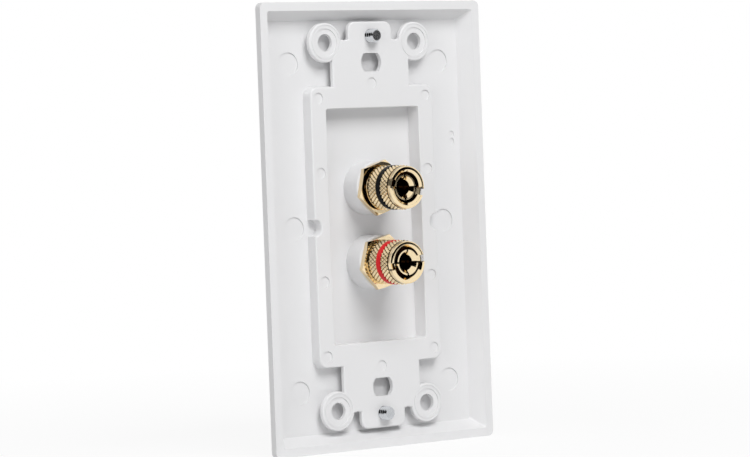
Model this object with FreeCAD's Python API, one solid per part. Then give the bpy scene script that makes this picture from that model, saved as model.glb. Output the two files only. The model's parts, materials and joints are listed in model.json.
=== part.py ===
import FreeCAD, Part

import math
import os

Vector = FreeCAD.Vector

# Rectangular-opening wall plate with a loudspeaker terminal insert, in millimetres.
# X is width, Z is up, and Y runs from the room towards the wall: the room sees -Y.
# The origin is the middle of the insert's mounting strap, on the face that meets the wall box.

# Wall plate: a hollow moulding, open towards the wall
PLATE_WIDTH = 69.85
PLATE_HEIGHT = 114.3
PLATE_CORNER = 1.5
RIM_THICKNESS = 2.2
RIM_STEP = 1.1            # the rim stands this far behind the strap plane
HOLLOW_DEPTH = 4.1        # from the rim down to the inner floor
FACE_THICKNESS = 1.7
WALL_LEAN = 2.4           # the inner walls lean in by this much between rim and floor
EDGE_HEIGHT = 2.0         # straight edge next to the rim, before the slope to the front
FRONT_LEAN = 3.0          # the slope moves in by this much
FRONT_ROUND = 1.2
OPENING_WIDTH = 33.3
PLATE_END_BORDER = 23.75  # from the top or bottom edge of the plate to its opening
OPENING_CORNER = 1.0
OPENING_CHAMFER = 0.3
MOULD_MARK_RADIUS = 3.0
MOULD_MARK_X = 24.0
TWIN_MARK_RADIUS = 0.85
TWIN_MARK_X = 27.7        # a pair of small marks beside the opening, on one side only
TWIN_MARK_Z = 21.5
MARK_DEPTH = 0.3

# Insert: a front block that fills the plate's opening, with a flange and a mounting strap
BLOCK_CLEARANCE = 0.15
BLOCK_PROUD = 1.6         # the block stands this far in front of the plate
BLOCK_FACE = 1.8          # thickness of its front wall
BLOCK_SIDE_WALL = 1.75
BLOCK_END_WALL = 3.25
BLOCK_ROUND = 0.5
FLANGE_SIDE_LIP = 2.85    # the flange rests on the plate's floor around the opening
FLANGE_END_LIP = 2.2
FLANGE_CORNER = 2.3
FLANGE_LEAN = 0.35
EDGE_ROUND = 0.4
SIDE_NOTCH_RADIUS = 2.1
STRAP_THICKNESS = 1.25
STRAP_CLEARANCE = 0.45    # end of the strap to the foot of the plate's end wall
NECK_WIDTH = 24.4
TONGUE_WIDTH = 13.9
TONGUE_CORNER = 2.2
CLEFT_RADIUS = 1.05       # narrow cleft between a tongue and an ear
CLEFT_DEPTH = 4.7
EAR_RADIUS = 5.05
EAR_SPACING = 28.5
EAR_SETBACK = 0.2         # the ears end just short of the tongue
EAR_HOLE_RADIUS = 2.2
EAR_DISH_RADIUS = 3.6     # shallow flat dish around the hole
EAR_DISH_DEPTH = 0.25
EAR_GROOVE_RADIUS = 4.3
EAR_GROOVE_WIDTH = 0.3
EAR_GROOVE_DEPTH = 0.12
PIN_MARK_RADIUS = 1.45

# Fixings: the box screws pass the slots, the plate screws thread into the strap
BOX_SCREW_OFFSET = 8.27   # from the end of the opening out to the box screw
BOX_HOLE_RADIUS = 3.2     # the hole is round with a flat above and below
BOX_HOLE_FLATS = 4.7
PLATE_SCREW_OFFSET = 6.75 # from the box screw out to the plate screw
SCREW_RADIUS = 1.75
SCREW_TIP_CHAMFER = 0.45
SCREW_TAIL = 2.8          # tip of a plate screw behind the strap
SCREW_CLEARANCE = 0.03
SCREW_HEAD_RADIUS = 3.3
SCREW_HEAD_SINK = 1.4
SCREW_HEAD_DOME = 0.6
SCREW_SLOT_WIDTH = 0.9
SCREW_SLOT_DEPTH = 0.8
SCREW_HOLE_CLEARANCE = 0.15

# Terminals: a double-ended post through a boss, with a screw cap at each end
POST_SPACING = 19.05
POST_RADIUS = 3.35
POST_TIP_STEP = 0.1       # the tip is turned down by this much
POST_TIP_LENGTH = 1.2
POST_RECESS = 0.2         # the post ends this far inside the mouth of a closed cap
SOCKET_RADIUS = 2.0
SOCKET_DEPTH = 14.0
SOCKET_FLARE = 0.85       # the funnel at the mouth of the socket
SLIT_WIDTH = 0.5
SLIT_LENGTH = 5.2
WIRE_HOLE_RADIUS = 1.25
WIRE_HOLE_HEIGHT = 1.75   # middle of the wire hole above the clamping face
BOSS_RADIUS = 6.95
BOSS_STEP = 1.35          # the boss stands this far behind the strap plane
BOSS_ROUND = 0.4
BOSS_CLEARANCE = 0.05
HEX_ACROSS_FLATS = 12.65
HEX_THICKNESS = 1.4
HEX_CHAMFER = 0.35
THREAD_CLEARANCE = 0.05
RUNNING_GAP = 0.05        # between faces that turn on each other
WASHER_RADIUS = 5.75
WASHER_RIM = 0.2
WASHER_HUB_RADIUS = 5.15
WASHER_THICKNESS = 0.3
SPIGOT_RADIUS = 4.3       # the cap's spigot carries the washer
SPIGOT_LENGTH = 0.3
KNURL_RADIUS = 5.68       # over the tips of the diamonds
KNURL_DEPTH = 0.28
KNURL_COUNT = 40          # diamonds around the cap
KNURL_INNER_LENGTH = 3.35 # the knurled zone next to the washer
BAND_WIDTH = 1.5
BAND_GROOVE_DEPTH = 0.68  # below the tips of the diamonds
BAND_PROUD = 0.02
KNURL_OUTER_LENGTH = 3.2
NOSE_LENGTH = 1.4         # smooth ring at the end of the cap
NOSE_STEP = 0.23          # below the tips of the diamonds
NOSE_CHAMFER = 0.2
NOSE_ROUND = 0.45
MOUTH_RADIUS = 4.0
MOUTH_FLARE = 0.55        # the cone that leads into the mouth
MOUTH_DEPTH = 3.6
COIN_SLOT_WIDTH = 1.8
COIN_SLOT_DEPTH = 1.65

# How each terminal came to rest: the turn of its nut and of the slot across its cap, in degrees,
# and how far its rear cap is screwed off the nut
TERMINALS = {
    "black": {"side": 1, "nut_turn": 12.5, "slot_turn": -16.0, "rear_open": 0.9},
    "red": {"side": -1, "nut_turn": 16.5, "slot_turn": 10.0, "rear_open": 0.0},
}

# Depths that follow from the sizes above
RIM_Y = RIM_STEP
FLOOR_Y = RIM_Y - HOLLOW_DEPTH
OPENING_HEIGHT = PLATE_HEIGHT - 2 * PLATE_END_BORDER
BOX_SCREW_SPACING = OPENING_HEIGHT + 2 * BOX_SCREW_OFFSET
PLATE_SCREW_SPACING = BOX_SCREW_SPACING + 2 * PLATE_SCREW_OFFSET
PLATE_FRONT_Y = FLOOR_Y - FACE_THICKNESS
BLOCK_FRONT_Y = PLATE_FRONT_Y - BLOCK_PROUD
RECESS_Y = BLOCK_FRONT_Y + BLOCK_FACE
STRAP_FRONT_Y = -STRAP_THICKNESS
BOSS_REAR_Y = BOSS_STEP
STRAP_END_Z = PLATE_HEIGHT / 2 - RIM_THICKNESS - WALL_LEAN - STRAP_CLEARANCE
EAR_Z = STRAP_END_Z - EAR_RADIUS - EAR_SETBACK
BLOCK_WIDTH = OPENING_WIDTH - 2 * BLOCK_CLEARANCE
BLOCK_HEIGHT = OPENING_HEIGHT - 2 * BLOCK_CLEARANCE
FLANGE_WIDTH = OPENING_WIDTH + 2 * FLANGE_SIDE_LIP
FLANGE_HEIGHT = OPENING_HEIGHT + 2 * FLANGE_END_LIP
WINDOW_WIDTH = BLOCK_WIDTH - 2 * BLOCK_SIDE_WALL
WINDOW_HEIGHT = BLOCK_HEIGHT - 2 * BLOCK_END_WALL
CAP_BASE = WASHER_THICKNESS + 2 * RUNNING_GAP
BAND_BASE = CAP_BASE + KNURL_INNER_LENGTH
BAND_TOP = BAND_BASE + BAND_WIDTH
NOSE_BASE = BAND_TOP + KNURL_OUTER_LENGTH
CAP_TOP = NOSE_BASE + NOSE_LENGTH
POST_REACH = CAP_TOP - POST_RECESS
BAND_RADIUS = KNURL_RADIUS + BAND_PROUD
BAND_GROOVE_RADIUS = KNURL_RADIUS - BAND_GROOVE_DEPTH
NOSE_RADIUS = KNURL_RADIUS - NOSE_STEP


def cylinder(radius, y_from, y_to, x=0.0, z=0.0):
    """Round bar along Y."""
    return Part.makeCylinder(radius, y_to - y_from, Vector(x, y_from, z), Vector(0, 1, 0))


def cone(radius_from, radius_to, y_from, y_to, x=0.0, z=0.0):
    """Tapered bar along Y."""
    return Part.makeCone(radius_from, radius_to, y_to - y_from, Vector(x, y_from, z), Vector(0, 1, 0))


def rounded_wire(width, height, corner, y):
    """Closed rounded rectangle about the Y axis, in the plane at depth y."""
    corner = min(corner, 0.49 * min(width, height))
    arcs = []
    for quarter, (sign_x, sign_z) in enumerate([(1, 1), (-1, 1), (-1, -1), (1, -1)]):
        centre_x = sign_x * (width / 2 - corner)
        centre_z = sign_z * (height / 2 - corner)
        points = []
        for turn in (0, 45, 90):
            angle = math.radians(90 * quarter + turn)
            points.append(Vector(centre_x + corner * math.cos(angle), y, centre_z + corner * math.sin(angle)))
        arcs.append(Part.Arc(*points))
    edges = []
    for index, arc in enumerate(arcs):
        edges.append(arc.toShape())
        following = arcs[(index + 1) % len(arcs)]
        edges.append(Part.LineSegment(arc.EndPoint, following.StartPoint).toShape())
    return Part.Wire(edges)


def rounded_block(width, height, corner, y_from, y_to, x=0.0, z=0.0):
    """Rounded rectangular bar along Y, centred on the point (x, z)."""
    block = Part.Face(rounded_wire(width, height, corner, y_from)).extrude(Vector(0, y_to - y_from, 0))
    block.translate(Vector(x, 0, z))
    return block


def leaning_block(width, height, corner, lean, y_from, y_to):
    """Rounded bar whose sides move out by lean, from its size at y_to to its foot at y_from."""
    foot = rounded_wire(width + 2 * lean, height + 2 * lean, max(corner + lean, 0.1), y_from)
    top = rounded_wire(width, height, corner, y_to)
    return Part.makeLoft([foot, top], True, True)


def turned(outline):
    """Solid of revolution about Y from points given as (radius, y)."""
    points = [Vector(radius, y, 0) for radius, y in outline]
    face = Part.Face(Part.makePolygon(points + points[:1]))
    return face.revolve(Vector(0, 0, 0), Vector(0, 1, 0), 360)


def edges_at_depth(shape, y):
    """Edges that lie in the plane at depth y."""
    return [edge for edge in shape.Edges
            if abs(edge.BoundBox.YMin - y) < 1e-4 and abs(edge.BoundBox.YMax - y) < 1e-4]


def circles(shape, radius, y):
    """Full circles about the Y axis, picked by radius and depth."""
    return [edge for edge in edges_at_depth(shape, y)
            if edge.Curve.TypeId == "Part::GeomCircle" and abs(edge.Curve.Radius - radius) < 1e-4]


def corners_xz(half_x, half_z):
    """The four mirror images of a point on the front."""
    return [(sign_x * half_x, sign_z * half_z) for sign_z in (1, -1) for sign_x in (1, -1)]


def wall_plate():
    """Hollow plate: sloped sides, leaning inner walls, the opening and two countersunk holes."""
    body = rounded_block(PLATE_WIDTH, PLATE_HEIGHT, PLATE_CORNER, RIM_Y - EDGE_HEIGHT, RIM_Y)
    front_width = PLATE_WIDTH - 2 * FRONT_LEAN
    front_height = PLATE_HEIGHT - 2 * FRONT_LEAN
    front = rounded_wire(front_width, front_height, PLATE_CORNER, PLATE_FRONT_Y)
    edge = rounded_wire(PLATE_WIDTH, PLATE_HEIGHT, PLATE_CORNER, RIM_Y - EDGE_HEIGHT)
    slope = Part.makeLoft([front, edge], True, True)
    slope = slope.makeFillet(FRONT_ROUND, edges_at_depth(slope, PLATE_FRONT_Y))
    body = body.fuse(slope)
    floor_width = PLATE_WIDTH - 2 * (RIM_THICKNESS + WALL_LEAN)
    floor_height = PLATE_HEIGHT - 2 * (RIM_THICKNESS + WALL_LEAN)
    inner_corner = 0.4 * PLATE_CORNER
    floor = rounded_wire(floor_width, floor_height, inner_corner, FLOOR_Y)
    rim = rounded_wire(floor_width + 2 * WALL_LEAN, floor_height + 2 * WALL_LEAN, inner_corner, RIM_Y)
    body = body.cut(Part.makeLoft([floor, rim], True, True))
    body = body.cut(rounded_block(OPENING_WIDTH, OPENING_HEIGHT, OPENING_CORNER, PLATE_FRONT_Y - 1, FLOOR_Y + 1))
    mouth = [edge for edge in edges_at_depth(body, PLATE_FRONT_Y)
             if edge.BoundBox.XMax < 0.51 * OPENING_WIDTH and edge.BoundBox.XMin > -0.51 * OPENING_WIDTH
             and abs(edge.BoundBox.Center.z) < 0.51 * OPENING_HEIGHT]
    body = body.makeChamfer(OPENING_CHAMFER, mouth)
    hole = SCREW_RADIUS + SCREW_HOLE_CLEARANCE
    sink = SCREW_HEAD_RADIUS + SCREW_HOLE_CLEARANCE
    for side in (1, -1):
        z = side * PLATE_SCREW_SPACING / 2
        body = body.cut(cylinder(hole, PLATE_FRONT_Y - 1, FLOOR_Y + 1, 0, z))
        body = body.cut(cone(sink, hole, PLATE_FRONT_Y, PLATE_FRONT_Y + SCREW_HEAD_SINK, 0, z))
    for z in (BOX_SCREW_SPACING / 2, 0.0, -BOX_SCREW_SPACING / 2):
        for x in (MOULD_MARK_X, -MOULD_MARK_X):
            body = body.cut(cylinder(MOULD_MARK_RADIUS, FLOOR_Y - MARK_DEPTH, FLOOR_Y + 1, x, z))
    for side in (1, -1):
        z = TWIN_MARK_Z + 1.1 * side * TWIN_MARK_RADIUS
        body = body.cut(cylinder(TWIN_MARK_RADIUS, FLOOR_Y - MARK_DEPTH, FLOOR_Y + 1, -TWIN_MARK_X, z))
    return body


def strap_blank():
    """Strap, ears, clefts and flange, with the edges towards the wall rounded."""
    blank = leaning_block(FLANGE_WIDTH, FLANGE_HEIGHT, FLANGE_CORNER, FLANGE_LEAN, FLOOR_Y, 0)
    neck_height = 2 * (EAR_Z + 0.15 * EAR_RADIUS)
    blank = blank.fuse(rounded_block(NECK_WIDTH, neck_height, 0.1, STRAP_FRONT_Y, 0))
    blank = blank.fuse(rounded_block(TONGUE_WIDTH, 2 * STRAP_END_Z, TONGUE_CORNER, STRAP_FRONT_Y, 0))
    for x, z in corners_xz(EAR_SPACING / 2, EAR_Z):
        blank = blank.fuse(cylinder(EAR_RADIUS, STRAP_FRONT_Y, 0, x, z))
    cleft_height = 2 * CLEFT_DEPTH
    for x, z in corners_xz(TONGUE_WIDTH / 2 + CLEFT_RADIUS, STRAP_END_Z):
        cleft = rounded_block(2 * CLEFT_RADIUS, cleft_height, CLEFT_RADIUS, STRAP_FRONT_Y - 1, 1, x, z)
        blank = blank.cut(cleft)
    for side in (1, -1):
        notch_x = side * FLANGE_WIDTH / 2
        blank = blank.cut(cylinder(SIDE_NOTCH_RADIUS, FLOOR_Y - 1, 1, notch_x, 0))
    blank = blank.removeSplitter()
    return blank.makeFillet(EDGE_ROUND, edges_at_depth(blank, 0))


def insert():
    """One moulding: front block, flange, strap, wiring recess and the two terminal bosses."""
    body = strap_blank()
    block = rounded_block(BLOCK_WIDTH, BLOCK_HEIGHT, OPENING_CORNER, BLOCK_FRONT_Y, FLOOR_Y + STRAP_THICKNESS / 2)
    block = block.makeFillet(BLOCK_ROUND, edges_at_depth(block, BLOCK_FRONT_Y))
    body = body.fuse(block)
    body = body.cut(rounded_block(WINDOW_WIDTH, WINDOW_HEIGHT, BLOCK_ROUND, RECESS_Y, 1))
    window_edges = [edge for edge in edges_at_depth(body, 0)
                    if edge.BoundBox.XMax < 0.51 * WINDOW_WIDTH and edge.BoundBox.XMin > -0.51 * WINDOW_WIDTH
                    and edge.BoundBox.ZMax < 0.51 * WINDOW_HEIGHT and edge.BoundBox.ZMin > -0.51 * WINDOW_HEIGHT]
    body = body.makeFillet(0.75 * EDGE_ROUND, window_edges)
    for side in (1, -1):
        z = side * POST_SPACING / 2
        boss = cylinder(BOSS_RADIUS, RECESS_Y - BLOCK_FACE / 2, BOSS_REAR_Y)
        boss = boss.makeFillet(BOSS_ROUND, circles(boss, BOSS_RADIUS, BOSS_REAR_Y))
        boss.translate(Vector(0, 0, z))
        body = body.fuse(boss)
        body = body.cut(cylinder(POST_RADIUS + BOSS_CLEARANCE, BLOCK_FRONT_Y - 1, BOSS_REAR_Y + 1, 0, z))
        body = body.cut(box_hole(side * BOX_SCREW_SPACING / 2))
        screw_z = side * PLATE_SCREW_SPACING / 2
        body = body.cut(cylinder(SCREW_RADIUS + SCREW_CLEARANCE, STRAP_FRONT_Y - 1, 1, 0, screw_z))
    for x, z in corners_xz(EAR_SPACING / 2, EAR_Z):
        body = body.cut(ear_cutter(x, z))
    for x, z in pin_marks():
        body = body.cut(cylinder(PIN_MARK_RADIUS, -MARK_DEPTH, 1, x, z))
    return body.removeSplitter()


def box_hole(z):
    """Cutter for one box screw's hole: a round bar with a flat above and below."""
    bar = cylinder(BOX_HOLE_RADIUS, STRAP_FRONT_Y - 1, 1, 0, z)
    reach = 2 * BOX_HOLE_RADIUS
    between_flats = Part.makeBox(2 * reach, STRAP_THICKNESS + 3, BOX_HOLE_FLATS,
                                 Vector(-reach, STRAP_FRONT_Y - 1.5, z - BOX_HOLE_FLATS / 2))
    return bar.common(between_flats)


def ear_cutter(x, z):
    """Through hole, shallow dish and ring groove of one ear."""
    hole = cylinder(EAR_HOLE_RADIUS, STRAP_FRONT_Y - 1, 1, x, z)
    dish = cylinder(EAR_DISH_RADIUS, -EAR_DISH_DEPTH, 1, x, z)
    groove = cylinder(EAR_GROOVE_RADIUS + EAR_GROOVE_WIDTH / 2, -EAR_GROOVE_DEPTH, 1, x, z)
    groove = groove.cut(cylinder(EAR_GROOVE_RADIUS - EAR_GROOVE_WIDTH / 2, -1, 2, x, z))
    return hole.fuse(dish).fuse(groove)


def pin_marks():
    """Round ejector marks on the strap: down both sides of the window and one on each neck."""
    side_x = (WINDOW_WIDTH + FLANGE_WIDTH) / 4
    end_z = (WINDOW_HEIGHT + FLANGE_HEIGHT) / 4
    inner_z = 0.42 * end_z
    marks = corners_xz(side_x, end_z) + corners_xz(side_x, inner_z)
    neck_z = FLANGE_HEIGHT / 2 + PIN_MARK_RADIUS / 2
    return marks + [(0, neck_z), (0, -neck_z)]


def plate_screw(side):
    """Oval-head slotted screw through the plate into the strap."""
    z = side * PLATE_SCREW_SPACING / 2
    sink_y = PLATE_FRONT_Y + SCREW_HEAD_SINK
    outline = [
        (0, PLATE_FRONT_Y),
        (SCREW_HEAD_RADIUS, PLATE_FRONT_Y),
        (SCREW_RADIUS, sink_y),
        (SCREW_RADIUS, SCREW_TAIL - SCREW_TIP_CHAMFER),
        (SCREW_RADIUS - SCREW_TIP_CHAMFER, SCREW_TAIL),
        (0, SCREW_TAIL),
    ]
    dome_radius = (SCREW_HEAD_RADIUS ** 2 + SCREW_HEAD_DOME ** 2) / (2 * SCREW_HEAD_DOME)
    dome = Part.makeSphere(dome_radius, Vector(0, PLATE_FRONT_Y + dome_radius - SCREW_HEAD_DOME, 0))
    dome = dome.common(cylinder(SCREW_HEAD_RADIUS, PLATE_FRONT_Y - SCREW_HEAD_DOME, PLATE_FRONT_Y))
    screw = turned(outline).fuse(dome)
    slot_bottom = PLATE_FRONT_Y - SCREW_HEAD_DOME + SCREW_SLOT_DEPTH
    slot = Part.makeBox(SCREW_SLOT_WIDTH, 2, 3 * SCREW_HEAD_RADIUS,
                        Vector(-SCREW_SLOT_WIDTH / 2, slot_bottom - 2, -1.5 * SCREW_HEAD_RADIUS))
    screw = screw.cut(slot)
    screw.translate(Vector(0, 0, z))
    return screw


def hexagon(turn):
    """Hexagonal disc from y = 0 to its thickness, with its outer corners chamfered."""
    reach = HEX_ACROSS_FLATS / math.sqrt(3)
    points = []
    for corner in range(7):
        angle = math.radians(60 * corner + 90 + turn)
        points.append(Vector(reach * math.cos(angle), 0, reach * math.sin(angle)))
    prism = Part.Face(Part.makePolygon(points)).extrude(Vector(0, HEX_THICKNESS, 0))
    drop = HEX_CHAMFER
    envelope = turned([(0, 0), (reach, 0), (reach, HEX_THICKNESS - drop), (reach - 2 * drop, HEX_THICKNESS),
                       (0, HEX_THICKNESS)])
    return prism.common(envelope)


def rear_nut(turn):
    """Hexagonal nut that draws the post against the boss, standing on y = 0."""
    return hexagon(turn).cut(cylinder(POST_RADIUS + THREAD_CLEARANCE, -1, HEX_THICKNESS + 1))


def washer():
    """Clamping washer from y = RUNNING_GAP: a smooth rim, a smaller hub and a bore for the cap's spigot."""
    low = RUNNING_GAP
    high = low + WASHER_THICKNESS
    bore = SPIGOT_RADIUS + THREAD_CLEARANCE
    return turned([
        (bore, low),
        (WASHER_RADIUS, low),
        (WASHER_RADIUS, low + WASHER_RIM),
        (WASHER_HUB_RADIUS, low + WASHER_RIM),
        (WASHER_HUB_RADIUS, high),
        (bore, high),
    ])


def knurled_disc(y_from, y_to):
    """Disc about Y with a diamond knurl around it: a grid of points on the rim, every second one a tip."""
    pitch = 2 * math.pi * KNURL_RADIUS / KNURL_COUNT
    rows = 2 * max(1, round((y_to - y_from) / pitch))
    columns = 2 * KNURL_COUNT
    grid = []
    for row in range(rows + 1):
        y = y_from + (y_to - y_from) * row / rows
        ring = []
        for column in range(columns):
            is_tip = 0 < row < rows and (row + column) % 2 == 0
            radius = KNURL_RADIUS if is_tip else KNURL_RADIUS - KNURL_DEPTH
            angle = 2 * math.pi * column / columns
            ring.append(Vector(radius * math.cos(angle), y, radius * math.sin(angle)))
        grid.append(ring)
    outlines = [grid[0], grid[-1]]
    for row in range(rows):
        for column in range(columns):
            following = (column + 1) % columns
            low, low_next = grid[row][column], grid[row][following]
            high, high_next = grid[row + 1][column], grid[row + 1][following]
            if (row + column) % 2 == 0:
                outlines += [[low, low_next, high], [low_next, high_next, high]]
            else:
                outlines += [[low, low_next, high_next], [low, high_next, high]]
    faces = [Part.Face(Part.makePolygon(outline + outline[:1])) for outline in outlines]
    disc = Part.makeSolid(Part.makeShell(faces))
    if disc.Volume < 0:
        disc.reverse()
    return disc


def cap(slot_turn):
    """Screw cap, closed down on its washer: two knurled zones, a band groove and a slotted smooth nose."""
    nose = turned([
        (0, BAND_TOP),
        (BAND_GROOVE_RADIUS, BAND_TOP),
        (BAND_GROOVE_RADIUS, NOSE_BASE),
        (NOSE_RADIUS - NOSE_CHAMFER, NOSE_BASE),
        (NOSE_RADIUS, NOSE_BASE + NOSE_CHAMFER),
        (NOSE_RADIUS, CAP_TOP),
        (0, CAP_TOP),
    ])
    nose_round = min(NOSE_ROUND, 0.8 * (NOSE_RADIUS - MOUTH_RADIUS - MOUTH_FLARE))
    nose = nose.makeFillet(nose_round, circles(nose, NOSE_RADIUS, CAP_TOP))
    body = knurled_disc(CAP_BASE, BAND_BASE).fuse([
        cylinder(SPIGOT_RADIUS, CAP_BASE - SPIGOT_LENGTH, CAP_BASE),
        cylinder(BAND_GROOVE_RADIUS, BAND_BASE, BAND_TOP),
        knurled_disc(BAND_TOP, NOSE_BASE),
        nose,
    ])
    body = body.cut(turned([
        (0, CAP_BASE - SPIGOT_LENGTH - 1),
        (POST_RADIUS + THREAD_CLEARANCE, CAP_BASE - SPIGOT_LENGTH - 1),
        (POST_RADIUS + THREAD_CLEARANCE, CAP_TOP - MOUTH_DEPTH),
        (MOUTH_RADIUS, CAP_TOP - MOUTH_DEPTH),
        (MOUTH_RADIUS, CAP_TOP - MOUTH_FLARE),
        (MOUTH_RADIUS + MOUTH_FLARE, CAP_TOP),
        (0, CAP_TOP),
    ]))
    reach = 2 * KNURL_RADIUS
    slot = Part.makeBox(2 * reach, 2 * COIN_SLOT_DEPTH, COIN_SLOT_WIDTH,
                        Vector(-reach, CAP_TOP - COIN_SLOT_DEPTH, -COIN_SLOT_WIDTH / 2))
    slot.rotate(Vector(0, 0, 0), Vector(0, 1, 0), slot_turn)
    return body.cut(slot)


def band():
    """Coloured plastic ring that fills the cap's groove."""
    return turned([
        (BAND_GROOVE_RADIUS, BAND_BASE),
        (BAND_RADIUS, BAND_BASE),
        (BAND_RADIUS, BAND_TOP),
        (BAND_GROOVE_RADIUS, BAND_TOP),
    ])


def facing_front(shape):
    """The same stack turned to face the room, standing on the front shoulder."""
    turned_shape = shape.copy()
    turned_shape.rotate(Vector(0, 0, 0), Vector(0, 0, 1), 180)
    turned_shape.translate(Vector(0, BLOCK_FRONT_Y - HEX_THICKNESS, 0))
    return turned_shape


def facing_rear(shape):
    """The same stack facing the wall, standing on the rear nut."""
    moved = shape.copy()
    moved.translate(Vector(0, BOSS_REAR_Y + HEX_THICKNESS, 0))
    return moved


def screwed_off(shape, height):
    """The same piece moved along its post, away from the clamping face."""
    moved = shape.copy()
    moved.translate(Vector(0, height, 0))
    return moved


def socket_end():
    """What is cut from one end of a post: socket with its funnel, cross slits and the wire hole."""
    bottom = POST_REACH - SOCKET_DEPTH
    cutter = cylinder(SOCKET_RADIUS, bottom, POST_REACH + 1)
    cutter = cutter.fuse(cone(SOCKET_RADIUS, SOCKET_RADIUS + SOCKET_FLARE, POST_REACH - SOCKET_FLARE, POST_REACH))
    reach = 2 * POST_RADIUS
    for turn in (0, 90):
        slit = Part.makeBox(2 * reach, SLIT_LENGTH + 1, SLIT_WIDTH,
                            Vector(-reach, POST_REACH - SLIT_LENGTH, -SLIT_WIDTH / 2))
        slit.rotate(Vector(0, 0, 0), Vector(0, 1, 0), turn)
        cutter = cutter.fuse(slit)
    wire_hole = Part.makeCylinder(WIRE_HOLE_RADIUS, 2 * reach, Vector(-reach, WIRE_HOLE_HEIGHT, 0), Vector(1, 0, 0))
    return cutter.fuse(wire_hole)


def post(nut_turn):
    """Double-ended post: hexagonal front shoulder, plain thread, a slimmer split socket at each end."""
    rear_tip = BOSS_REAR_Y + HEX_THICKNESS + POST_REACH
    front_tip = BLOCK_FRONT_Y - HEX_THICKNESS - POST_REACH
    tip_radius = POST_RADIUS - POST_TIP_STEP
    body = turned([
        (0, front_tip),
        (tip_radius, front_tip),
        (tip_radius, front_tip + POST_TIP_LENGTH),
        (POST_RADIUS, front_tip + POST_TIP_LENGTH + POST_TIP_STEP),
        (POST_RADIUS, rear_tip - POST_TIP_LENGTH - POST_TIP_STEP),
        (tip_radius, rear_tip - POST_TIP_LENGTH),
        (tip_radius, rear_tip),
        (0, rear_tip),
    ])
    shoulder = hexagon(nut_turn)
    shoulder.rotate(Vector(0, 0, 0), Vector(0, 0, 1), 180)
    shoulder.translate(Vector(0, BLOCK_FRONT_Y, 0))
    body = body.fuse(shoulder)
    body = body.cut(facing_rear(socket_end()))
    return body.cut(facing_front(socket_end()))


def terminal(colour, side, nut_turn, slot_turn, rear_open):
    """All pieces of one terminal, by node name."""
    nut = rear_nut(nut_turn)
    nut.translate(Vector(0, BOSS_REAR_Y, 0))
    pieces = {colour + "_post": post(nut_turn), colour + "_rear_nut": nut}
    stack = {"washer": washer(), "cap": cap(slot_turn), "band": band()}
    for end, place, height in (("rear", facing_rear, rear_open), ("front", facing_front, 0.0)):
        for part, shape in stack.items():
            pieces[colour + "_" + end + "_" + part] = place(screwed_off(shape, height))
    for piece in pieces.values():
        piece.translate(Vector(0, 0, side * POST_SPACING / 2))
    return pieces


def build():
    """Every piece of the assembly, by node name."""
    pieces = {
        "wall_plate": wall_plate(),
        "insert": insert(),
        "plate_screw_top": plate_screw(1),
        "plate_screw_bottom": plate_screw(-1),
    }
    for colour, setting in TERMINALS.items():
        pieces.update(terminal(colour, **setting))
    return pieces


os.makedirs("parts", exist_ok=True)
for node, shape in build().items():
    solid = shape.Solids[0] if len(shape.Solids) == 1 else shape
    print(f"{node}: {len(shape.Solids)} solid, valid {solid.isValid()}, {solid.Volume:.2f} mm3")
    solid.exportStep(os.path.join("parts", node + ".step"))
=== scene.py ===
"""Looks of the speaker terminal plate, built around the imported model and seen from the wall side."""

import json
import logging
import math
from dataclasses import dataclass
from enum import Enum

import bmesh
import bpy
from mathutils import Matrix, Vector

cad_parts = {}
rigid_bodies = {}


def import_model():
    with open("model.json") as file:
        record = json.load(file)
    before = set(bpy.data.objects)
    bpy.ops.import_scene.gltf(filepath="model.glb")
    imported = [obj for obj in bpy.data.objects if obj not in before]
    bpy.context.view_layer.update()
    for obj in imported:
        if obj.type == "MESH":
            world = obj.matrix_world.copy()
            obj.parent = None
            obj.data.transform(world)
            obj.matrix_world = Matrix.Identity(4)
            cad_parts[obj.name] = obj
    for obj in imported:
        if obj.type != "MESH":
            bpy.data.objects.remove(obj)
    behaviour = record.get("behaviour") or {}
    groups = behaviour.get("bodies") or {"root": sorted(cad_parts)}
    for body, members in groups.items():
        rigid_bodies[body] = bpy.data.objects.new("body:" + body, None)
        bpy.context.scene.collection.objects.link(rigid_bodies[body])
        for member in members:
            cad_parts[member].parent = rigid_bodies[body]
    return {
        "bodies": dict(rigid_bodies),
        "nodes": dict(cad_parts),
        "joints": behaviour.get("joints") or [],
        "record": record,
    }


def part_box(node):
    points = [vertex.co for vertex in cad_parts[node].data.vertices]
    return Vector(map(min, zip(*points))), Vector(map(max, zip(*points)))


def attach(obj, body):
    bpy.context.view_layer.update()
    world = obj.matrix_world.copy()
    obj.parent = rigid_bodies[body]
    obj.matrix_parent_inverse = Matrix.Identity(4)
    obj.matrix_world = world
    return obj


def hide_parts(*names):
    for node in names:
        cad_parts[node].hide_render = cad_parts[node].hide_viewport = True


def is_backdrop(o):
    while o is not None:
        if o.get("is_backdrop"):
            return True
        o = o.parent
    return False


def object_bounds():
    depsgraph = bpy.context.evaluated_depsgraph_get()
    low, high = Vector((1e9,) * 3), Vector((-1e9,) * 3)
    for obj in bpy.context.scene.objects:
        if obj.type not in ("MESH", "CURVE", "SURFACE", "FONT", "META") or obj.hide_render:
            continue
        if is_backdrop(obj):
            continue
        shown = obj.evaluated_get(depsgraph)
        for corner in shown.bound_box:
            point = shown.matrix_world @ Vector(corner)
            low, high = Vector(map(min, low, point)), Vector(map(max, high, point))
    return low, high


logging.basicConfig(level=logging.INFO, format="%(message)s")
LOG = logging.getLogger("terminal plate")

MM = 0.001
PHOTO_WIDTH_PX = 750
# Edges between faces that meet at more than this are drawn hard
TURNED_EDGE_DEGREES = 20.0
THREAD_EDGE_DEGREES = 32.0
# Faces whose normal leans less than this towards the axis run along it
STEEP_LEAN = 0.1


class TerminalColour(Enum):
    """The two terminals, by the colour of their bands."""

    BLACK = "black"
    RED = "red"


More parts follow.
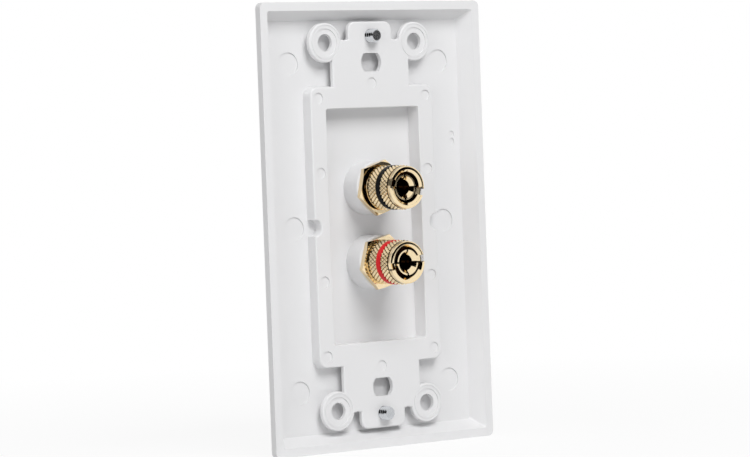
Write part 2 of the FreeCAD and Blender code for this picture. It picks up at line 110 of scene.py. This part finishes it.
class End(Enum):
    """The two ends of a terminal: towards the wall or towards the room."""

    REAR = "rear"
    FRONT = "front"


class Place(Enum):
    """The two plate screws."""

    TOP = "top"
    BOTTOM = "bottom"


def linear_colour(hex_code: str) -> tuple[float, float, float, float]:
    """Turn an sRGB hex colour into linear RGBA.

    Args:
        hex_code: six hex digits after a hash sign.

    Returns:
        Linear red, green and blue, and an alpha of one.
    """
    channels = [int(hex_code[i:i + 2], 16) / 255 for i in (1, 3, 5)]
    linear = [c / 12.92 if c <= 0.04045 else ((c + 0.055) / 1.055) ** 2.4 for c in channels]
    return (*linear, 1.0)


def add_node(tree: bpy.types.NodeTree, kind: str, settings: dict | None = None,
             links: dict | None = None) -> bpy.types.Node:
    """Add one node to a tree, with its settings and what feeds it.

    Args:
        tree: the node tree to add to.
        kind: the node's type name.
        settings: attribute names or socket names, with their values.
        links: socket names of the new node, each with the output socket that feeds it.

    Returns:
        The new node.
    """
    node = tree.nodes.new(kind)
    for name, value in (settings or {}).items():
        if hasattr(node, name):
            setattr(node, name, value)
        else:
            node.inputs[name].default_value = value
    for name, source in (links or {}).items():
        tree.links.new(source, node.inputs[name])
    return node


def new_material(name: str) -> tuple[bpy.types.Material, bpy.types.NodeTree, bpy.types.Node]:
    """Make an empty node material.

    Args:
        name: what the material is.

    Returns:
        The material, its node tree and its output node.
    """
    material = bpy.data.materials.new(name)
    material.use_nodes = True
    tree = material.node_tree
    tree.nodes.clear()
    return material, tree, tree.nodes.new("ShaderNodeOutputMaterial")


@dataclass(frozen=True)
class MouldedAbs:
    """Injection-moulded ABS: a milky plastic with a soft gloss, faint flow clouds and a fine mould grain."""

    name: str
    colour: str
    cloud_colour: str
    roughness: float = 0.34
    ior: float = 1.54
    gloss: float = 0.5
    cloud_mm: float = 14.0
    grain_mm: float = 0.35
    grain_depth_mm: float = 0.004

    def material(self) -> bpy.types.Material:
        """Build the node material."""
        material, tree, output = new_material(self.name)
        place = add_node(tree, "ShaderNodeTexCoord").outputs["Object"]
        clouds = add_node(tree, "ShaderNodeTexNoise",
                          {"Scale": 1 / (self.cloud_mm * MM), "Detail": 3.0}, {"Vector": place})
        grain = add_node(tree, "ShaderNodeTexNoise",
                         {"Scale": 1 / (self.grain_mm * MM), "Detail": 2.0}, {"Vector": place})
        colour = add_node(tree, "ShaderNodeMix", {"data_type": "RGBA"})
        colour.inputs[6].default_value = linear_colour(self.colour)
        colour.inputs[7].default_value = linear_colour(self.cloud_colour)
        tree.links.new(clouds.outputs["Fac"], colour.inputs["Factor"])
        gloss = add_node(tree, "ShaderNodeMapRange",
                         {"To Min": self.roughness - 0.05, "To Max": self.roughness + 0.07},
                         {"Value": clouds.outputs["Fac"]})
        bump = add_node(tree, "ShaderNodeBump",
                        {"Distance": self.grain_depth_mm * MM, "Strength": 0.6},
                        {"Height": grain.outputs["Fac"]})
        shader = add_node(tree, "ShaderNodeBsdfPrincipled",
                          {"IOR": self.ior, "Specular IOR Level": self.gloss},
                          {"Base Color": colour.outputs[2], "Roughness": gloss.outputs["Result"],
                           "Normal": bump.outputs["Normal"]})
        tree.links.new(shader.outputs["BSDF"], output.inputs["Surface"])
        return material


@dataclass(frozen=True)
class PaintedGrooveShade:
    """Painted shade down in the grooves of a knurl: a dark colour standing in for the shade there, around
    either of two axes along Y, in millimetres.
    """

    colour: str
    axis_offset: float = 9.525
    dark_radius: float = 5.41
    unshaded_radius: float = 5.5

    def tint(self, tree: bpy.types.NodeTree, place: bpy.types.NodeSocket,
             unshaded_colour: bpy.types.NodeSocket) -> bpy.types.NodeSocket:
        """Darken a colour by how deep in the knurl it lies, as painted shade.

        Args:
            tree: the node tree to work in.
            place: the object coordinates.
            unshaded_colour: the colour on top of the diamonds.

        Returns:
            The socket with the tinted colour.
        """
        parts = add_node(tree, "ShaderNodeSeparateXYZ", None, {"Vector": place})
        side = add_node(tree, "ShaderNodeMath", {"operation": "ABSOLUTE"})
        tree.links.new(parts.outputs["Z"], side.inputs[0])
        from_axis = add_node(tree, "ShaderNodeMath", {"operation": "SUBTRACT"})
        tree.links.new(side.outputs["Value"], from_axis.inputs[0])
        from_axis.inputs[1].default_value = self.axis_offset * MM
        flat = add_node(tree, "ShaderNodeCombineXYZ", None,
                        {"X": parts.outputs["X"], "Z": from_axis.outputs["Value"]})
        radius = add_node(tree, "ShaderNodeVectorMath", {"operation": "LENGTH"})
        tree.links.new(flat.outputs["Vector"], radius.inputs[0])
        share = add_node(tree, "ShaderNodeMapRange",
                         {"From Min": self.dark_radius * MM, "From Max": self.unshaded_radius * MM},
                         {"Value": radius.outputs["Value"]})
        tint = add_node(tree, "ShaderNodeMix", {"data_type": "RGBA"}, {"Factor": share.outputs["Result"]})
        tint.inputs[6].default_value = linear_colour(self.colour)
        tree.links.new(unshaded_colour, tint.inputs[7])
        return tint.outputs[2]


@dataclass(frozen=True)
class PlatedMetal:
    """Turned and plated metal: a mirror with slight clouding and the faint rings of the lathe."""

    name: str
    colour: str
    cloud_colour: str
    roughness: float
    ring_mm: float = 0.22
    ring_depth_mm: float = 0.0012
    cloud_mm: float = 1.6
    # painted shade in the grooves of a knurl, if any
    groove_shade: PaintedGrooveShade | None = None

    def material(self) -> bpy.types.Material:
        """Build the node material."""
        material, tree, output = new_material(self.name)
        place = add_node(tree, "ShaderNodeTexCoord").outputs["Object"]
        clouds = add_node(tree, "ShaderNodeTexNoise",
                          {"Scale": 1 / (self.cloud_mm * MM), "Detail": 3.0}, {"Vector": place})
        rings = add_node(tree, "ShaderNodeTexWave",
                         {"bands_direction": "Y", "Scale": 0.314 / (self.ring_mm * MM), "Distortion": 0.4},
                         {"Vector": place})
        mix = add_node(tree, "ShaderNodeMix", {"data_type": "RGBA"})
        mix.inputs[6].default_value = linear_colour(self.colour)
        mix.inputs[7].default_value = linear_colour(self.cloud_colour)
        tree.links.new(clouds.outputs["Fac"], mix.inputs["Factor"])
        colour = mix.outputs[2]
        # paint shade into the knurl's grooves
        if self.groove_shade:
            colour = self.groove_shade.tint(tree, place, colour)
        gloss = add_node(tree, "ShaderNodeMapRange",
                         {"To Min": 0.7 * self.roughness, "To Max": 1.3 * self.roughness},
                         {"Value": clouds.outputs["Fac"]})
        bump = add_node(tree, "ShaderNodeBump",
                        {"Distance": self.ring_depth_mm * MM, "Strength": 0.5},
                        {"Height": rings.outputs["Fac"]})
        shader = add_node(tree, "ShaderNodeBsdfPrincipled", {"Metallic": 1.0},
                          {"Base Color": colour, "Roughness": gloss.outputs["Result"],
                           "Normal": bump.outputs["Normal"]})
        tree.links.new(shader.outputs["BSDF"], output.inputs["Surface"])
        return material


# White moulded ABS: bright and neutral, with a soft sheen on its flat faces
PLATE_ABS = MouldedAbs("plate_white_moulded_abs", "#E9E9EA", "#E5E5E6")
INSERT_ABS = MouldedAbs("insert_white_moulded_abs", "#E8E8E9", "#E4E4E5", roughness=0.38)
# Coloured moulded ABS rings: deep black and signal red, with only a faint sheen
BLACK_ABS = MouldedAbs("band_black_moulded_abs", "#060607", "#0B0B0C",
                       roughness=0.3, gloss=0.06, cloud_mm=3.0)
RED_ABS = MouldedAbs("band_red_moulded_abs", "#E4262A", "#DA2026",
                     roughness=0.3, gloss=0.12, cloud_mm=3.0)
# Gold-plated turned brass: a pale champagne mirror with hard dark reflections
GOLD_PLATE = PlatedMetal("gold_plated_brass", "#F8E5C0", "#F3DBB0", roughness=0.08)
# The same plating on the knurl, with painted shade in its grooves that draws each diamond
GOLD_KNURL = PlatedMetal("gold_plated_knurl", "#F8E5C0", "#F3DBB0", roughness=0.12,
                         groove_shade=PaintedGrooveShade("#1E1206"))
# Painted shade inside the sockets, mouths and coin slots: dark and reddish brass with a dull gloss, standing
# in for the shade there
BORE_PAINTED_SHADE = PlatedMetal("painted_shade_in_the_bores", "#5A3A20", "#3E2614", roughness=0.42)
# Bright zinc-plated steel: a cool grey mirror, a little clouded
ZINC_PLATE = PlatedMetal("zinc_plated_steel", "#D3D5D8", "#C3C6CA", roughness=0.2)


@dataclass(frozen=True)
class Thread:
    """A right-hand V thread cut into a plain shank along Y, in millimetres."""

    radius: float
    pitch: float
    depth: float
    start: float
    stop: float
    margin: float = 0.06
    half_width_share: float = 0.44
    steps_per_turn: int = 28

    def cutter(self, x: float, z: float) -> bpy.types.Object:
        """Build the helical groove that the boolean takes away.

        Args:
            x: where the shank's axis is, in millimetres.
            z: where the shank's axis is, in millimetres.

        Returns:
            A closed mesh object of triangular section, run out at both ends.
        """
        turns = (self.stop - self.start) / self.pitch
        steps = round(turns * self.steps_per_turn)
        run_out = self.steps_per_turn / 2
        mesh = bmesh.new()
        previous = None
        first = None
        for step in range(steps + 1):
            share = min(1.0, step / run_out, (steps - step) / run_out)
            depth = self.depth * share - self.margin / 2 * (1 - share)
            outer = self.radius + self.margin
            half_width = self.half_width_share * self.pitch * (depth + self.margin) / self.depth
            angle = -2 * math.pi * step / self.steps_per_turn
            along = self.start + self.pitch * step / self.steps_per_turn
            section = []
            for radius, offset in ((self.radius - depth, 0.0), (outer, half_width), (outer, -half_width)):
                point = Vector((x + radius * math.cos(angle), along + offset, z + radius * math.sin(angle)))
                section.append(mesh.verts.new(point * MM))
            if previous:
                for i in range(3):
                    k = (i + 1) % 3
                    mesh.faces.new((previous[i], previous[k], section[k], section[i]))
            else:
                first = section
            previous = section
        mesh.faces.new(first)
        mesh.faces.new(reversed(previous))
        bmesh.ops.recalc_face_normals(mesh, faces=mesh.faces)
        data = bpy.data.meshes.new("thread_groove")
        mesh.to_mesh(data)
        mesh.free()
        groove = bpy.data.objects.new("thread_groove", data)
        bpy.context.scene.collection.objects.link(groove)
        return groove


def solid_copy(node: bpy.types.Object, name: str) -> bpy.types.Object:
    """Copy a CAD node into a new closed mesh without its split normals.

    Args:
        node: the CAD node's object.
        name: the new piece's name.

    Returns:
        The new object, linked to the scene.
    """
    mesh = bmesh.new()
    mesh.from_mesh(node.data)
    bmesh.ops.remove_doubles(mesh, verts=mesh.verts, dist=0.0005 * MM)
    data = bpy.data.meshes.new(name)
    mesh.to_mesh(data)
    mesh.free()
    for layer in ("custom_normal", "sharp_edge", "sharp_face"):
        if layer in data.attributes:
            data.attributes.remove(data.attributes[layer])
    piece = bpy.data.objects.new(name, data)
    bpy.context.scene.collection.objects.link(piece)
    return piece


def harden_edges(piece: bpy.types.Object, degrees: float) -> None:
    """Shade a piece smoothly, but draw every edge sharper than an angle hard.

    Args:
        piece: the piece.
        degrees: the angle between two faces from which their edge is hard.
    """
    piece.data.shade_smooth()
    piece.data.set_sharp_from_angle(angle=math.radians(degrees))


def cut_threads(node: bpy.types.Object, name: str, grooves: list[bpy.types.Object]) -> bpy.types.Object:
    """Cut helical grooves out of a copy of a CAD node.

    Args:
        node: the CAD node with a plain shank.
        name: the new piece's name.
        grooves: the cutters, which are removed afterwards.

    Returns:
        The threaded piece.
    """
    piece = solid_copy(node, name)
    for groove in grooves:
        modifier = piece.modifiers.new("thread", "BOOLEAN")
        modifier.operation = "DIFFERENCE"
        modifier.solver = "EXACT"
        modifier.object = groove
    graph = bpy.context.evaluated_depsgraph_get()
    data = bpy.data.meshes.new_from_object(piece.evaluated_get(graph))
    piece.modifiers.clear()
    piece.data = data
    data.name = name
    for groove in grooves:
        bpy.data.objects.remove(groove)
    harden_edges(piece, THREAD_EDGE_DEGREES)
    return piece


@dataclass(frozen=True)
class DiamondKnurl:
    """A knurl around an axis along Y: two families of V grooves with flat-topped diamonds between them.

    Lengths are in millimetres, and the groove's half width is a share of the distance between grooves.
    The grid has four steps to a diamond, so the grooves' edges fall on its diagonals.
    """

    tip_radius: float = 5.68
    depth: float = 0.28
    core_radius: float = 5.15
    sunk_radius: float = 5.3
    count: int = 34
    axial_pitch: float = 1.74
    groove_share: float = 0.25
    end_bevel: float = 0.2
    grid_steps: int = 4
    zone_margin: float = 0.01

    def radius(self, around: float, along: float) -> float:
        """Find the knurl's radius at one place.

        Args:
            around: place around the axis, in diamonds.
            along: place along the axis, in diamonds.

        Returns:
            The radius there, in millimetres.
        """
        nearest = min(abs(lean - round(lean)) for lean in (around + along, around - along))
        return self.tip_radius - self.depth * max(0.0, 1 - nearest / self.groove_share)

    def sleeve(self, mesh: bmesh.types.BMesh, axis: tuple[float, float], low: float, high: float,
               material_index: int) -> None:
        """Add one closed knurled sleeve to a mesh.

        Args:
            mesh: the mesh to add to.
            axis: x and z of the axis, in millimetres.
            low: where the sleeve starts along Y, in millimetres.
            high: where it ends, in millimetres.
            material_index: the material slot of its faces.
        """
        steps = self.grid_steps
        columns = steps * self.count
        rows = max(1, round(steps * (high - low) / self.axial_pitch))

        def vertex(radius: float, column: float, row: float) -> bmesh.types.BMVert:
            """Add a vertex at a radius, column and row."""
            angle = 2 * math.pi * column / columns
            place = Vector((axis[0] + radius * math.cos(angle), low + (high - low) * row / rows,
                            axis[1] + radius * math.sin(angle)))
            return mesh.verts.new(place * MM)

        rim = []
        for row in range(rows + 1):
            cut_down = self.tip_radius - self.end_bevel if row in (0, rows) else self.tip_radius
            rim.append([vertex(min(cut_down, self.radius(column / steps, row / steps)), column, row)
                        for column in range(columns)])
        faces = []
        for row in range(rows):
            for column in range(columns):
                following = (column + 1) % columns
                half_column, half_row = column + 0.5, row + 0.5
                middle = vertex(self.radius(half_column / steps, half_row / steps), half_column, half_row)
                corners = (rim[row][column], rim[row][following],
                           rim[row + 1][following], rim[row + 1][column])
                for i, corner in enumerate(corners):
                    faces.append(mesh.faces.new((corner, corners[(i + 1) % len(corners)], middle)))
        core = [[vertex(self.core_radius, column, row) for column in range(columns)] for row in (0, rows)]
        for column in range(columns):
            following = (column + 1) % columns
            for one, other in ((rim[0], core[0]), (core[0], core[1]), (core[1], rim[-1])):
                faces.append(mesh.faces.new((one[column], one[following], other[following], other[column])))
        for face in faces:
            face.material_index = material_index
        bmesh.ops.recalc_face_normals(mesh, faces=faces)

    def recut(self, piece: bpy.types.Object, axis: tuple[float, float], zones: list[tuple[float, float]],
              material_index: int) -> None:
        """Sink what stands proud in some zones of a piece and lay a knurled sleeve over each.

        Args:
            piece: the piece.
            axis: x and z of the axis, in millimetres.
            zones: the lowest and highest y of each zone, in millimetres.
            material_index: the material slot of the sleeves.
        """
        mesh = bmesh.new()
        mesh.from_mesh(piece.data)
        centre = Vector((axis[0], 0.0, axis[1]))
        for vert in mesh.verts:
            place = vert.co / MM
            out = Vector((place.x, 0.0, place.z)) - centre
            in_zone = any(low - self.zone_margin < place.y < high + self.zone_margin for low, high in zones)
            if in_zone and out.length > self.sunk_radius:
                sunk = centre + out * (self.sunk_radius / out.length)
                vert.co = Vector((sunk.x, place.y, sunk.z)) * MM
        for low, high in zones:
            self.sleeve(mesh, axis, low, high, material_index)
        mesh.to_mesh(piece.data)
        mesh.free()


def dress(piece: bpy.types.Object, material: bpy.types.Material) -> None:
    """Give a piece one material."""
    piece.data.materials.clear()
    piece.data.materials.append(material)


def dress_zone(piece: bpy.types.Object, material: bpy.types.Material, axis: tuple[float, float],
               radii: tuple[float, float], heights: tuple[float, float], steep: bool = False) -> None:
    """Give the faces of one zone around an axis along Y their own material.

    Args:
        piece: the dressed piece.
        material: what the zone is made of.
        axis: x and z of the axis, in millimetres.
        radii: the zone's inner and outer radius, in millimetres.
        heights: the zone's lowest and highest y, in millimetres.
        steep: whether only faces that run along the axis are meant.
    """
    if material.name not in piece.data.materials:
        piece.data.materials.append(material)
    index = piece.data.materials.find(material.name)
    for face in piece.data.polygons:
        centre = face.center / MM
        radius = math.hypot(centre.x - axis[0], centre.z - axis[1])
        inside = radii[0] < radius < radii[1] and heights[0] < centre.y < heights[1]
        if inside and (not steep or abs(face.normal.y) < STEEP_LEAN):
            face.material_index = index


@dataclass
class Mouldings:
    """The wall plate and the insert, which keep their CAD meshes."""

    frame: dict
    plate_finish: MouldedAbs = PLATE_ABS
    insert_finish: MouldedAbs = INSERT_ABS

    def build(self) -> list[bpy.types.Object]:
        """Give both mouldings their ABS.

        Returns:
            The two dressed nodes.
        """
        plate = self.frame["nodes"]["wall_plate"]
        insert = self.frame["nodes"]["insert"]
        dress(plate, self.plate_finish.material())
        dress(insert, self.insert_finish.material())
        return [plate, insert]


@dataclass
class PlateScrew:
    """An oval-head machine screw with a rolled thread, of bright zinc-plated steel."""

    frame: dict
    place: Place
    radius: float = 1.75
    pitch: float = 0.794
    depth: float = 0.42
    unthreaded: float = 2.5
    past_tip: float = 0.3

    def build(self, finish: bpy.types.Material) -> bpy.types.Object:
        """Cut the thread along the shank.

        Args:
            finish: the screw's material.

        Returns:
            The threaded screw.
        """
        node = self.frame["nodes"][f"plate_screw_{self.place.value}"]
        low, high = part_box(node.name)
        centre = (low + high) / 2 / MM
        thread = Thread(self.radius, self.pitch, self.depth,
                        low.y / MM + self.unthreaded, high.y / MM + self.past_tip)
        screw = cut_threads(node, f"threaded_{node.name}", [thread.cutter(centre.x, centre.z)])
        dress(screw, finish)
        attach(screw, "housing")
        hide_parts(node.name)
        return screw


@dataclass
class Terminal:
    """One double-ended terminal: threaded post, nut, and at each end a washer, cap and colour band."""

    frame: dict
    colour: TerminalColour
    post_radius: float = 3.35
    pitch: float = 1.0
    depth: float = 0.5
    plain_tip: float = 1.75
    nut_overlap: float = 0.8
    front_stop: float = 0.05
    socket_radius: float = 2.05
    funnel_depth: float = 0.85
    mouth_radius: float = 4.02
    mouth_lip: float = 1.3
    nose_radius: float = 5.4
    slot_depth: float = 1.65
    slot_margin: float = 0.01
    past_end: float = 1.0
    inner_knurl: float = 3.35
    knurl: DiamondKnurl = DiamondKnurl()

    def threads(self) -> list[Thread]:
        """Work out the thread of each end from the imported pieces.

        Returns:
            One thread for each end.
        """
        low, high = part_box(f"{self.colour.value}_post")
        threads = []
        for end in End:
            if end is End.REAR:
                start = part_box(f"{self.colour.value}_rear_nut")[1].y / MM - self.nut_overlap
                stop = high.y / MM - self.plain_tip
            else:
                start = low.y / MM + self.plain_tip
                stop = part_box(f"{self.colour.value}_front_washer")[1].y / MM - self.front_stop
            threads.append(Thread(self.post_radius, self.pitch, self.depth, start, stop))
        return threads

    def post(self, axis: tuple[float, float], gold: bpy.types.Material,
             bore: bpy.types.Material) -> bpy.types.Object:
        """Thread the post and darken its sockets with painted shade.

        Args:
            axis: x and z of the terminal's axis, in millimetres.
            gold: the material of the metal pieces.
            bore: the material inside their bores.

        Returns:
            The threaded post.
        """
        name = self.colour.value
        grooves = [thread.cutter(*axis) for thread in self.threads()]
        post = cut_threads(self.frame["nodes"][f"{name}_post"], f"{name}_threaded_post", grooves)
        dress(post, gold)
        low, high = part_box(f"{name}_post")
        inside = (low.y / MM + self.funnel_depth, high.y / MM - self.funnel_depth)
        # painted shade down both sockets
        dress_zone(post, bore, axis, (0.0, self.socket_radius), inside)
        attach(post, "housing")
        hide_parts(f"{name}_post")
        return post

    def turned(self, part: str, body: str, gold: bpy.types.Material) -> bpy.types.Object:
        """Copy one of the turned pieces with crisp edges and gild it.

        Args:
            part: the piece's name after the terminal's colour.
            body: the body that carries it.
            gold: its material.

        Returns:
            The gilded piece.
        """
        node = self.frame["nodes"][f"{self.colour.value}_{part}"]
        piece = solid_copy(node, f"gilded_{node.name}")
        harden_edges(piece, TURNED_EDGE_DEGREES)
        dress(piece, gold)
        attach(piece, body)
        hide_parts(node.name)
        return piece

    def cap(self, end: End, axis: tuple[float, float], gold: bpy.types.Material, knurl: bpy.types.Material,
            bore: bpy.types.Material) -> bpy.types.Object:
        """Copy one screw cap and dress its nose, its knurl and its bore.

        Args:
            end: which end of the terminal the cap closes.
            axis: x and z of the terminal's axis, in millimetres.
            gold: the material of the nose.
            knurl: the material of the knurled zones.
            bore: the material of the bore.

        Returns:
            The dressed cap.
        """
        name = f"{self.colour.value}_{end.value}"
        cap = self.turned(f"{end.value}_cap", f"{name}_knob", gold)
        cap.data.materials.append(knurl)
        low, high = (corner.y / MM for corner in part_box(f"{name}_cap"))
        band_low, band_high = (corner.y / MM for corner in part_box(f"{name}_band"))
        if end is End.REAR:
            slot_floor = high - self.slot_depth
            inside = (low - self.past_end, high - self.mouth_lip)
            slot = (slot_floor - self.slot_margin, high)
            zones = [(band_low - self.inner_knurl, band_low), (band_high, slot_floor)]
        else:
            slot_floor = low + self.slot_depth
            inside = (low + self.mouth_lip, high + self.past_end)
            slot = (low, slot_floor + self.slot_margin)
            zones = [(band_high, band_high + self.inner_knurl), (slot_floor, band_low)]
        # painted shade in the mouth and on the walls of the coin slot
        dress_zone(cap, bore, axis, (0.0, self.mouth_radius), inside)
        dress_zone(cap, bore, axis, (self.mouth_radius, self.nose_radius), slot, steep=True)
        self.knurl.recut(cap, axis, zones, material_index=1)
        harden_edges(cap, TURNED_EDGE_DEGREES)
        return cap

    def build(self, gold: bpy.types.Material, knurl: bpy.types.Material, bore: bpy.types.Material,
              band: bpy.types.Material) -> list[bpy.types.Object]:
        """Thread the post and dress every piece.

        Args:
            gold: the material of the smooth metal pieces.
            knurl: the material of the caps' knurled zones.
            bore: the material inside the bores.
            band: the material of the colour bands.

        Returns:
            All pieces of the terminal.
        """
        name = self.colour.value
        low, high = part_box(f"{name}_rear_band")
        centre = (low + high) / 2 / MM
        axis = (centre.x, centre.z)
        pieces = [self.post(axis, gold, bore), self.turned("rear_nut", "housing", gold)]
        for end in End:
            pieces.append(self.turned(f"{end.value}_washer", f"{name}_{end.value}_clamp", gold))
            pieces.append(self.cap(end, axis, gold, knurl, bore))
            ring = self.frame["nodes"][f"{name}_{end.value}_band"]
            dress(ring, band)
            pieces.append(ring)
        return pieces


@dataclass(frozen=True)
class PhotoCamera:
    """The camera where the photograph was taken from, with its long lens and slight roll, in metres."""

    at: tuple[float, float, float] = (0.50242, 0.66729, 0.02664)
    target: tuple[float, float, float] = (0.00070, 0.0, -0.00095)
    focal_px: float = 3257.85
    roll_degrees: float = -2.0906
    sensor_mm: float = 36.0
    reach: float = 20.0

    def build(self) -> None:
        """Stand the camera and make it the scene's own."""
        data = bpy.data.cameras.new("photo_camera")
        data.sensor_width = self.sensor_mm
        data.lens = self.sensor_mm * self.focal_px / PHOTO_WIDTH_PX
        data.clip_end = self.reach
        camera = bpy.data.objects.new("photo_camera", data)
        bpy.context.scene.collection.objects.link(camera)
        view = (Vector(self.target) - Vector(self.at)).normalized()
        level = view.to_track_quat("-Z", "Y").to_matrix().to_4x4()
        roll = Matrix.Rotation(math.radians(self.roll_degrees), 4, "Z")
        camera.matrix_world = Matrix.Translation(Vector(self.at)) @ level @ roll
        bpy.context.scene.camera = camera


@dataclass(frozen=True)
class Softbox:
    """A soft square lamp that faces the object: its level on a white surface, side and place in metres."""

    name: str
    level: float
    size: float
    centre: tuple[float, float, float]

    def build(self) -> None:
        """Hang the lamp, out of sight of the metal's reflections."""
        centre = Vector(self.centre)
        light = bpy.data.lights.new(self.name, "AREA")
        light.shape = "SQUARE"
        light.size = self.size
        light.energy = self.level * (math.pi * centre.length) ** 2
        lamp = bpy.data.objects.new(self.name, light)
        bpy.context.scene.collection.objects.link(lamp)
        lamp.matrix_world = Matrix.Translation(centre) @ centre.to_track_quat("Z", "Y").to_matrix().to_4x4()
        lamp.visible_glossy = False


@dataclass
class Studio:
    """Pale floor, white backdrop, soft lamps and dark reflectors for the metal, in metres."""

    floor_z: float
    floor_size: float = 6.0
    ambient: float = 0.2
    floor_near_glow: float = 0.92
    floor_near: float = 0.08
    floor_far: float = 0.3
    key: Softbox = Softbox("key_softbox", 0.75, 0.68, (0.15, 0.907, 0.876))
    fill: Softbox = Softbox("fill_softbox", 0.22, 0.9, (1.3, 0.5, 0.3))

    def floor(self) -> None:
        """Lay the floor under the plate's lower edge."""
        material, tree, output = new_material("studio_floor_white_paint")
        paint = add_node(tree, "ShaderNodeBsdfDiffuse", {"Color": linear_colour("#EDEDED")})
        glow = add_node(tree, "ShaderNodeEmission", {"Strength": 1.0})
        place = add_node(tree, "ShaderNodeTexCoord").outputs["Object"]
        distance = add_node(tree, "ShaderNodeVectorMath", {"operation": "LENGTH"})
        tree.links.new(place, distance.inputs[0])
        ramp = add_node(tree, "ShaderNodeMapRange",
                        {"From Min": self.floor_near, "From Max": self.floor_far,
                         "To Min": self.floor_near_glow, "To Max": 1.0},
                        {"Value": distance.outputs["Value"]})
        share = add_node(tree, "ShaderNodeMath", {"operation": "MULTIPLY"})
        tree.links.new(self.seen_rays(tree), share.inputs[0])
        tree.links.new(ramp.outputs["Result"], share.inputs[1])
        mix = add_node(tree, "ShaderNodeMixShader", None, {"Fac": share.outputs["Value"]})
        tree.links.new(paint.outputs["BSDF"], mix.inputs[1])
        tree.links.new(glow.outputs["Emission"], mix.inputs[2])
        tree.links.new(mix.outputs["Shader"], output.inputs["Surface"])
        self.card("studio_floor", self.floor_size, self.floor_size, Vector((0, 0, self.floor_z)),
                  Vector((0, 0, 1)), material)

    def seen_rays(self, tree: bpy.types.NodeTree) -> bpy.types.NodeSocket:
        """Find the rays that show the background.

        Args:
            tree: the node tree to work in.

        Returns:
            A socket that is one for camera, glossy and transmission rays.
        """
        path = add_node(tree, "ShaderNodeLightPath")
        first = add_node(tree, "ShaderNodeMath", {"operation": "MAXIMUM"})
        tree.links.new(path.outputs["Is Camera Ray"], first.inputs[0])
        tree.links.new(path.outputs["Is Glossy Ray"], first.inputs[1])
        second = add_node(tree, "ShaderNodeMath", {"operation": "MAXIMUM"})
        tree.links.new(first.outputs["Value"], second.inputs[0])
        tree.links.new(path.outputs["Is Transmission Ray"], second.inputs[1])
        return second.outputs["Value"]

    def backdrop(self) -> None:
        """Make the world white where it is seen and a soft grey where it lights."""
        world = bpy.data.worlds.new("studio_backdrop")
        bpy.context.scene.world = world
        world.use_nodes = True
        tree = world.node_tree
        tree.nodes.clear()
        output = tree.nodes.new("ShaderNodeOutputWorld")
        soft = add_node(tree, "ShaderNodeBackground", {"Color": (1, 1, 1, 1), "Strength": self.ambient})
        white = add_node(tree, "ShaderNodeBackground", {"Color": (1, 1, 1, 1), "Strength": 1.0})
        mix = add_node(tree, "ShaderNodeMixShader", None, {"Fac": self.seen_rays(tree)})
        tree.links.new(soft.outputs["Background"], mix.inputs[1])
        tree.links.new(white.outputs["Background"], mix.inputs[2])
        tree.links.new(mix.outputs["Shader"], output.inputs["Surface"])

    def card(self, name: str, width: float, height: float, centre: Vector, facing: Vector,
             material: bpy.types.Material) -> bpy.types.Object:
        """Stand a flat card in the studio.

        Args:
            name: the card's name.
            width: across, in metres.
            height: up, in metres.
            centre: where its middle is.
            facing: the way it faces.
            material: its material.

        Returns:
            The card, marked as stage.
        """
        data = bpy.data.meshes.new(name)
        corners = [(-width / 2, -height / 2, 0), (width / 2, -height / 2, 0),
                   (width / 2, height / 2, 0), (-width / 2, height / 2, 0)]
        data.from_pydata(corners, [], [(0, 1, 2, 3)])
        data.materials.append(material)
        card = bpy.data.objects.new(name, data)
        bpy.context.scene.collection.objects.link(card)
        card.matrix_world = Matrix.Translation(centre) @ facing.to_track_quat("Z", "Y").to_matrix().to_4x4()
        card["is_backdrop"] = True
        return card

    def dark_card(self, name: str, width: float, height: float, centre: Vector, facing: Vector) -> None:
        """Stand a black card that only the metal's reflections see.

        Args:
            name: the card's name.
            width: across, in metres.
            height: up, in metres.
            centre: where its middle is.
            facing: the way it faces.
        """
        material, tree, output = new_material(f"{name}_black_velvet")
        cloth = add_node(tree, "ShaderNodeBsdfDiffuse", {"Color": linear_colour("#0E0D0C")})
        tree.links.new(cloth.outputs["BSDF"], output.inputs["Surface"])
        card = self.card(name, width, height, centre, facing, material)
        card.visible_camera = False
        card.visible_diffuse = False
        card.visible_shadow = False
        card.visible_transmission = False

    def build(self) -> None:
        """Set up the whole studio."""
        scene = bpy.context.scene
        scene.view_settings.view_transform = "Standard"
        self.floor()
        self.backdrop()
        self.key.build()
        self.fill.build()
        self.dark_card("camera_wall", 4.4, 3.0, Vector((0.2, 1.9, 0.5)), Vector((0, -1, 0)))
        self.dark_card("side_wall", 1.8, 3.0, Vector((1.9, 1.0, 0.5)), Vector((-1, 0, 0)))


def main() -> None:
    """Build every sub-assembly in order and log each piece."""
    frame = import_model()
    cad_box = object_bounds()
    for piece in Mouldings(frame).build():
        LOG.info("dressed %s", piece.name)
    zinc = ZINC_PLATE.material()
    for place in Place:
        LOG.info("built %s", PlateScrew(frame, place).build(zinc).name)
    gold = GOLD_PLATE.material()
    knurl = GOLD_KNURL.material()
    bore = BORE_PAINTED_SHADE.material()
    bands = {TerminalColour.BLACK: BLACK_ABS.material(), TerminalColour.RED: RED_ABS.material()}
    for colour in TerminalColour:
        for piece in Terminal(frame, colour).build(gold, knurl, bore, bands[colour]):
            LOG.info("built %s", piece.name)
    Studio(floor_z=cad_box[0][2]).build()
    PhotoCamera().build()


if __name__ == "__main__":
    main()
